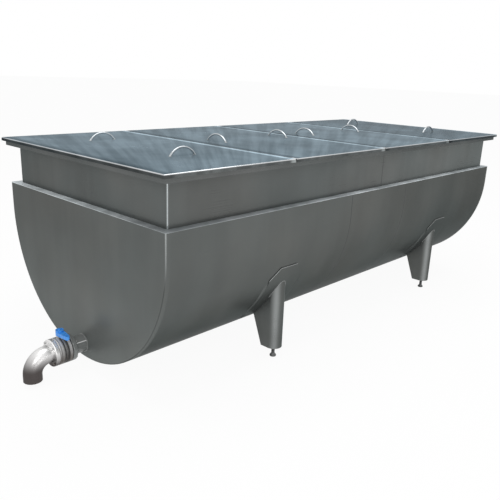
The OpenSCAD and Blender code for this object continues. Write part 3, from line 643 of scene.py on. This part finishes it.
# Weld rings: round the outlet stub, the water connections and the handles' feet
ringLook = {"width": 0.0035, "height": 0.0030, "ripple": 0.005, "swell": 0.12, "sides": 8,
            "step": 0.0016}
handleWeld = {"width": 0.0020, "height": 0.0018, "ripple": 0.003, "swell": 0.10, "sides": 8,
              "step": 0.0008, "chord": 0.140, "long": 0.0062, "short": 0.0052}
ringRows = 200  # points round a ring before they are spaced evenly


def ellipse(centre, first, second, step):  # closed path: centre plus two half axes turned by an angle
    turn = np.linspace(0, 2 * math.pi, ringRows, endpoint=False)[:, None]
    return spaced(centre + first * np.cos(turn) + second * np.sin(turn), step, closed=True)


stubRadius = 0.0425  # half of the 85 mm tube
stubCentre = np.array([endLow[0], 0, (pipeLow[2] + pipeHigh[2]) / 2])
sideways = np.array([0, stubRadius, 0])
upwards = np.array([0, 0, stubRadius])
path, marks = ellipse(stubCentre, sideways, upwards, ringLook["step"])
lift = np.tile([-1.0, 0, 0], (len(path), 1))
piece = skin("outlet_weld", bead(path, marks, lift, ringLook, closed=True), "stubPolish", "vat", True)

# A thin near-white bead along the stub's front flank: a seam carrying a painted highlight line
stubHighlightSeam = {"width": 0.0016, "height": 0.0007, "ripple": 0.012, "swell": 0.06, "sides": 8, "step": 0.002,
            "turn": 35, "out": 0.0002}
flangeHigh = boxOf("valve_body_vat_side")[1]
turn = math.radians(stubHighlightSeam["turn"])
outwards = np.array([0, -math.cos(turn), math.sin(turn)])
ends = np.array([[flangeHigh[0], 0, stubCentre[2]], [endLow[0], 0, stubCentre[2]]])
path, marks = spaced(ends + (stubRadius + stubHighlightSeam["out"]) * outwards, stubHighlightSeam["step"])
lift = np.tile(outwards, (len(path), 1))
skin("stub_highlight_seam", bead(path, marks, lift, stubHighlightSeam), "seamHighlight", "vat")

for name in ("water_inlet", "water_return"):
    low, high = boxOf(name)
    centre = (low + high) / 2
    out = unit(centre * [0, 1, 1] - np.array([0, 0, vat["axisHeight"]]))
    around = np.cross([1.0, 0, 0], out)
    radius = (high[0] - low[0]) / 2
    root = np.array([centre[0], 0, vat["axisHeight"]]) + out * vat["jacketRadius"]
    path, marks = ellipse(root, np.array([radius, 0, 0]), around * radius, ringLook["step"])
    lift = np.tile(out, (len(path), 1))
    piece = skin(name + "_weld", bead(path, marks, lift, ringLook, closed=True), "weldBead", "vat", True)

for name in [n for n in nodes if "_handle_" in n]:
    low, high = boxOf(name)
    centre = (low + high) / 2
    along = np.array([1.0, 0, 0]) if high[0] - low[0] > high[1] - low[1] else np.array([0, 1.0, 0])
    across = np.array([along[1], along[0], 0])
    for word, way in (("a", -1), ("b", 1)):
        root = np.array([centre[0], centre[1], low[2]]) + way * along * handleWeld["chord"] / 2
        longWay, shortWay = along * handleWeld["long"], across * handleWeld["short"]
        path, marks = ellipse(root, longWay, shortWay, handleWeld["step"])
        lift = np.tile([0, 0, 1.0], (len(path), 1))
        rings = bead(path, marks, lift, handleWeld, closed=True)
        piece = skin(f"{name}_weld_{word}", rings, "weldBead", bodyOf[name], True)
print("weld rings made")

# Ground sheet seams: a flat low strip down the band and round the jacket
seamLook = {"width": 0.0030, "height": 0.0004, "ripple": 0.02, "swell": 0.05, "sides": 8, "step": 0.006,
            "bandSeams": (0.064,), "jacketSeams": (-0.163, 0.21), "roundRows": 60}


def bandSeam(x, way):  # straight down the band's side, from under the rim to the ledge
    y = way * vat["bandSide"]
    ends = np.array([[x, y, vat["rimUnder"]], [x, y, vat["ledgeTop"]]])
    path, marks = spaced(ends, seamLook["step"])
    return path, marks, np.tile([0, float(way), 0], (len(path), 1))


def jacketSeam(x, way):  # down the jacket's straight side and a quarter round beneath
    turn = np.linspace(0, math.pi / 2, seamLook["roundRows"])
    radius = vat["jacketRadius"]
    y = np.concatenate([[radius], radius * np.cos(turn)])
    z = np.concatenate([[ledgeLow[2]], vat["axisHeight"] - radius * np.sin(turn)])
    path, marks = spaced(np.stack([np.full(len(y), x), way * y, z], axis=-1), seamLook["step"])
    below = np.minimum(path[:, 2] - vat["axisHeight"], 0)
    return path, marks, unit(np.stack([np.zeros(len(path)), path[:, 1], below], axis=-1))


def addSeam(name, route):
    path, marks, lift = route
    skin(name, bead(path, marks, lift, seamLook), "groundSeam", "vat")


halfLength = (farHigh[0] - endLow[0]) / 2
for side, way in (("front", -1), ("back", 1)):
    for number, share in enumerate(seamLook["bandSeams"], 1):
        addSeam(f"band_seam_{side}_{number}", bandSeam(vat["middle"] + share * halfLength, way))
    for number, share in enumerate(seamLook["jacketSeams"], 1):
        addSeam(f"jacket_seam_{side}_{number}", jacketSeam(vat["middle"] + share * halfLength, way))
print("sheet seams made")

# Camera, as the photograph was taken
cameraLook = {"place": (-2.6590, -2.3278, 1.4121), "turn": (72.978, -2.144, -46.055),
              "lens": 42.07, "sensor": 36}
cameraData = bpy.data.cameras.new("camera")
cameraData.sensor_width = cameraLook["sensor"]
cameraData.lens = cameraLook["lens"]
camera = bpy.data.objects.new("camera", cameraData)
camera.location = cameraLook["place"]
camera.rotation_euler = [math.radians(angle) for angle in cameraLook["turn"]]
bpy.context.scene.collection.objects.link(camera)
bpy.context.scene.camera = camera

# Floor, lamps and background
stageLook = {"floorHalf": 60.0, "floorDrop": 0.0006, "floorColour": (0.94, 0.94, 0.94),
             "floorWhite": 0.94, "ambient": 0.62}
lamps = {
    "overhead": {"place": (0.1, -0.3, 4.6), "aim": (0.1, 0.0, 0.0), "size": (5.0, 2.6), "power": 95},
    "frontLeft": {"place": (-4.6, -3.2, 3.4), "aim": (-0.4, -0.3, 0.5), "size": (2.2, 2.2), "power": 60},
    "frontLow": {"place": (-2.2, -6.0, 0.8), "aim": (0.0, -0.5, 0.3), "size": (4.0, 1.2), "power": 45},
}


def seenRays(start):  # 1 for the camera, for mirrored and for transmitted rays
    kinds = ("Camera", "Glossy", "Transmission")
    rays = [start.node("ShaderNodeLightPath", out=f"Is {kind} Ray") for kind in kinds]
    return rays[0].maths("MAXIMUM", rays[1]).maths("MAXIMUM", rays[2])


def makeFloor():
    material, start = newMaterial("paleFloor")[:2]
    colour = rgba(stageLook["floorColour"])
    matt = start.node("ShaderNodeBsdfDiffuse", {}, {"Color": colour})
    glow = start.node("ShaderNodeEmission", {}, {"Color": (1, 1, 1, 1), "Strength": 1.0})
    share = seenRays(start) * stageLook["floorWhite"]
    mixed = start.node("ShaderNodeMixShader", {}, {0: share, 1: matt, 2: glow})
    output = material.node_tree.nodes["Material Output"]
    material.node_tree.links.new(mixed.socket, output.inputs["Surface"])
    half = stageLook["floorHalf"]
    corners = [(x * half, y * half, -stageLook["floorDrop"]) for x, y in ((-1, -1), (1, -1), (1, 1), (-1, 1))]
    mesh = bpy.data.meshes.new("floor")
    mesh.from_pydata(corners, [], [(0, 1, 2, 3)])
    mesh.materials.append(material)
    floor = bpy.data.objects.new("floor", mesh)
    bpy.context.scene.collection.objects.link(floor)


def makeWorld():
    world = bpy.data.worlds.new("studio")
    world.use_nodes = True
    start = Wire(world.node_tree)
    strength = stageLook["ambient"] + (1 - stageLook["ambient"]) * seenRays(start)
    background = world.node_tree.nodes["Background"]
    background.inputs["Color"].default_value = (1, 1, 1, 1)
    feed(background, "Strength", strength)
    bpy.context.scene.world = world


def addLamp(name, look):
    data = bpy.data.lights.new(name, "AREA")
    data.shape = "RECTANGLE"
    data.size, data.size_y = look["size"]
    data.energy = look["power"]
    lamp = bpy.data.objects.new(name, data)
    lamp.location = look["place"]
    aim = lamp.location - Vector(look["aim"])
    lamp.rotation_euler = aim.to_track_quat("Z", "Y").to_euler()
    bpy.context.scene.collection.objects.link(lamp)


makeFloor()
makeWorld()
for name, look in lamps.items():
    addLamp(name, look)
bpy.context.scene.view_settings.view_transform = "Standard"
print("stage set")
